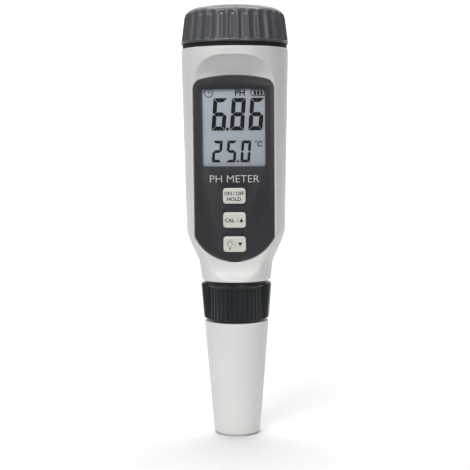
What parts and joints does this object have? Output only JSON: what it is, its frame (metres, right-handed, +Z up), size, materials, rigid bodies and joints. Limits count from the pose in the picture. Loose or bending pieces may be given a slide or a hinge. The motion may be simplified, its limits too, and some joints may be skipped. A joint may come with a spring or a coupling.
{
  "type": "ph meter",
  "caption": "Pen-type pH meter with a display and keys on a flat front, a screw battery cap and a plug-in electrode under a pull-off sensor cap.",
  "frame": {"origin": "middle of the sensor cap's flat bottom, which is the bottom of the whole object", "axes": "+Z up along the meter's axis to the battery cap, -Y out of the display, +X to the right of someone reading it"},
  "size_m": [0.0404, 0.0404, 0.1622],
  "materials": {
    "housing_plastic": "moulded ABS, fine satin",
    "cap_plastic": "moulded ABS, satin",
    "collar_plastic": "moulded ABS, satin",
    "overlay_film": "printed polycarbonate film, fine matt",
    "window_plastic": "clear polished polycarbonate",
    "lcd_glass": "liquid-crystal cell with a matt polariser",
    "light_guide": "white moulded plastic",
    "inner_plastic": "black moulded plastic",
    "key_plastic": "moulded plastic, satin",
    "rubber": "black silicone rubber",
    "board_laminate": "green solder mask",
    "chip_resin": "black moulded resin",
    "steel": "nickel-plated steel",
    "contact_brass": "stamped spring brass",
    "lead_red": "red wire insulation",
    "electrode_glass": "clear blown glass",
    "silver_wire": "chlorided silver",
    "junction_ceramic": "porous unglazed ceramic",
    "sponge_foam": "open-cell foam"
  },
  "bodies": {
    "meter": {"front_housing": "housing_plastic", "rear_housing": "housing_plastic", "front_overlay": "overlay_film", "display_window": "window_plastic", "lcd_glass": "lcd_glass", "backlight_panel": "light_guide", "zebra_strip": "rubber", "lcd_frame": "inner_plastic", "circuit_board": "board_laminate", "controller_chip": "chip_resin", "amplifier_chip": "chip_resin", "crystal_can": "steel", "board_screw_1": "steel", "board_screw_2": "steel", "board_screw_3": "steel", "board_screw_4": "steel", "keypad_gasket": "rubber", "key_switch_1": "inner_plastic", "key_switch_2": "inner_plastic", "key_switch_3": "inner_plastic", "neck_ring": "inner_plastic", "cap_seal_ring": "rubber", "battery_carrier": "inner_plastic", "button_cell_1": "steel", "button_cell_2": "steel", "button_cell_3": "steel", "button_cell_4": "steel", "plus_contact": "contact_brass", "minus_contact": "contact_brass", "bridge_contact": "contact_brass", "battery_lead_plus": "lead_red", "battery_lead_minus": "rubber", "lower_neck": "inner_plastic", "plug_socket": "inner_plastic"},
    "contact_disc": {"contact_disc": "inner_plastic", "contact_strip_right": "contact_brass", "contact_strip_left": "contact_brass"},
    "battery_cap": {"battery_cap": "cap_plastic", "disc_clip": "steel"},
    "electrode_module": {"electrode_body": "inner_plastic", "plug_board": "board_laminate", "module_o_ring": "rubber", "cap_o_ring": "rubber", "probe_guard": "inner_plastic", "glass_electrode": "electrode_glass", "silver_wire": "silver_wire", "reference_junction": "junction_ceramic", "temperature_pin": "steel"},
    "collar": {"collar": "collar_plastic"},
    "sensor_cap": {"sensor_cap": "housing_plastic", "storage_sponge": "sponge_foam"},
    "power_key": {"key_power": "key_plastic", "switch_plunger_1": "light_guide"},
    "calibrate_key": {"key_calibrate": "key_plastic", "switch_plunger_2": "light_guide"},
    "light_key": {"key_light": "key_plastic", "switch_plunger_3": "light_guide"}
  },
  "joints": [
    {"name": "battery_cap_lift", "type": "slide", "parent": "meter", "child": "contact_disc", "axis": [0, 0, 1], "range_m": [0, 0.00376]},
    {"name": "battery_cap_turn", "type": "hinge", "parent": "contact_disc", "child": "battery_cap", "pos_m": [0, 0, 0.155], "axis": [0, 0, 1], "range_deg": [0, 540]},
    {"name": "electrode_withdraw", "type": "slide", "parent": "meter", "child": "electrode_module", "axis": [0, 0, -1], "range_m": [0, 0.00401]},
    {"name": "collar_turn", "type": "hinge", "parent": "electrode_module", "child": "collar", "pos_m": [0, 0, 0.051], "axis": [0, 0, -1], "range_deg": [0, 720]},
    {"name": "sensor_cap_pull", "type": "slide", "parent": "electrode_module", "child": "sensor_cap", "axis": [0, 0, -1], "range_m": [0, 0.036]},
    {"name": "power_key_press", "type": "slide", "parent": "meter", "child": "power_key", "axis": [0, 0.999, 0.0436], "range_m": [0, 0.0005], "stiffness_N_per_m": 1500},
    {"name": "calibrate_key_press", "type": "slide", "parent": "meter", "child": "calibrate_key", "axis": [0, 0.999, 0.0436], "range_m": [0, 0.0005], "stiffness_N_per_m": 1500},
    {"name": "light_key_press", "type": "slide", "parent": "meter", "child": "light_key", "axis": [0, 0.999, 0.0436], "range_m": [0, 0.0005], "stiffness_N_per_m": 1500}
  ],
  "couplings": [
    {"joint": "battery_cap_lift", "follows": "battery_cap_turn", "m_per_rad": 0.00039789},
    {"joint": "electrode_withdraw", "follows": "collar_turn", "m_per_rad": 0.00031831}
  ]
}
